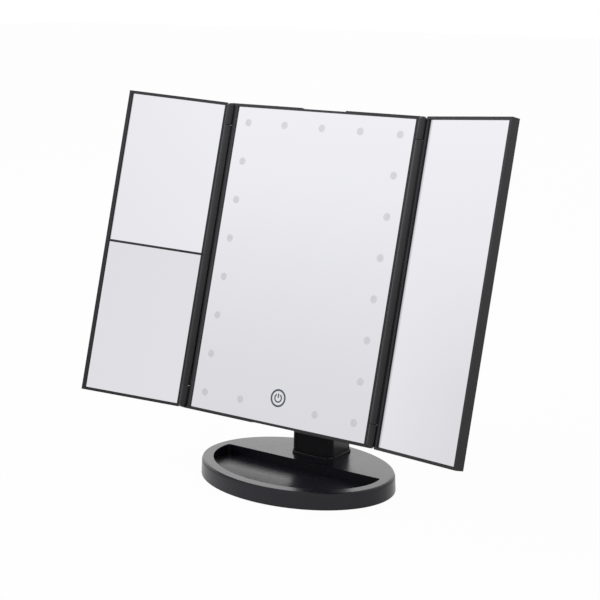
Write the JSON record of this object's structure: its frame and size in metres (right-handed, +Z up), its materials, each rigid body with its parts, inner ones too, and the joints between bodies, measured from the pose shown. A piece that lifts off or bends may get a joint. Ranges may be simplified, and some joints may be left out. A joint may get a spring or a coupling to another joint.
{
  "type": "trifold vanity mirror",
  "caption": "Trifold table mirror with lit windows round its centre pane, folding side wings, a tilting head and an oval tray base.",
  "frame": {"origin": "centre of the oval base, on the surface that its rubber pad stands on", "axes": "+Z up; the mirror faces -Y; +X is to the right of someone who looks into the mirror"},
  "size_m": [0.3389, 0.1175, 0.2879],
  "materials": {
    "black_plastic": "satin",
    "base_plate_plastic": "matte",
    "rubber": "matte",
    "knob_plastic": "satin",
    "mirror_glass": "polished",
    "frosted_window": "frosted",
    "key_print": "printed",
    "foam_tape": "matte",
    "steel": "brushed",
    "washer_nylon": "matte",
    "circuit_board": "satin",
    "led": "clear",
    "component_plastic": "matte",
    "battery_jacket": "printed film",
    "lead_insulation": "matte"
  },
  "bodies": {
    "stand": {"base_shell": "black_plastic", "base_plate": "base_plate_plastic", "base_pad": "rubber", "base_screws": "steel", "base_weight": "steel", "neck_front_shell": "black_plastic", "neck_rear_shell": "black_plastic", "neck_screws": "steel", "neck_shell_screws": "steel", "tilt_ears": "steel", "tilt_bolt": "steel", "tilt_nut": "steel", "tilt_washers": "washer_nylon", "neck_caps": "black_plastic"},
    "mirror_head": {"head_bracket": "steel", "bracket_screws": "steel", "centre_frame": "black_plastic", "centre_mirror": "mirror_glass", "centre_glue": "foam_tape", "led_windows": "frosted_window", "touch_key": "key_print", "touch_contact": "steel", "led_board_left": "circuit_board", "led_board_right": "circuit_board", "led_board_top": "circuit_board", "led_board_bottom": "circuit_board", "led_chips": "led", "control_board": "circuit_board", "hinge_pins": "steel", "rear_cover": "black_plastic", "cover_screws": "steel", "battery_cells": "battery_jacket", "battery_contacts": "steel", "switch_body": "component_plastic", "charging_socket": "steel", "internal_leads": "lead_insulation"},
    "left_wing": {"left_wing_frame": "black_plastic", "left_wing_back": "black_plastic", "left_mirror_upper": "mirror_glass", "left_mirror_lower": "mirror_glass", "left_glue": "foam_tape"},
    "right_wing": {"right_wing_frame": "black_plastic", "right_wing_back": "black_plastic", "right_mirror": "mirror_glass", "right_glue": "foam_tape"},
    "door": {"battery_door": "black_plastic"},
    "power_knob": {"switch_knob": "knob_plastic"}
  },
  "joints": [
    {"name": "head_tilt", "type": "hinge", "parent": "stand", "child": "mirror_head", "pos_m": [0, 0.0332, 0.1561], "axis": [1, 0, 0], "range_deg": [-73.8, 16.2]},
    {"name": "left_wing_fold", "type": "hinge", "parent": "mirror_head", "child": "left_wing", "pos_m": [-0.0859, 0.00137, 0.16535], "axis": [0, 0.279, 0.9603], "range_deg": [-19.3, 160.7]},
    {"name": "right_wing_fold", "type": "hinge", "parent": "mirror_head", "child": "right_wing", "pos_m": [0.0859, 0.00137, 0.16535], "axis": [0, -0.279, -0.9603], "range_deg": [-16.6, 163.4]},
    {"name": "battery_door_slide", "type": "slide", "parent": "mirror_head", "child": "door", "axis": [0, 0.279, 0.9603], "range_m": [0, 0.05]},
    {"name": "power_switch_slide", "type": "slide", "parent": "mirror_head", "child": "power_knob", "axis": [1, 0, 0], "range_m": [0, 0.003]}
  ]
}
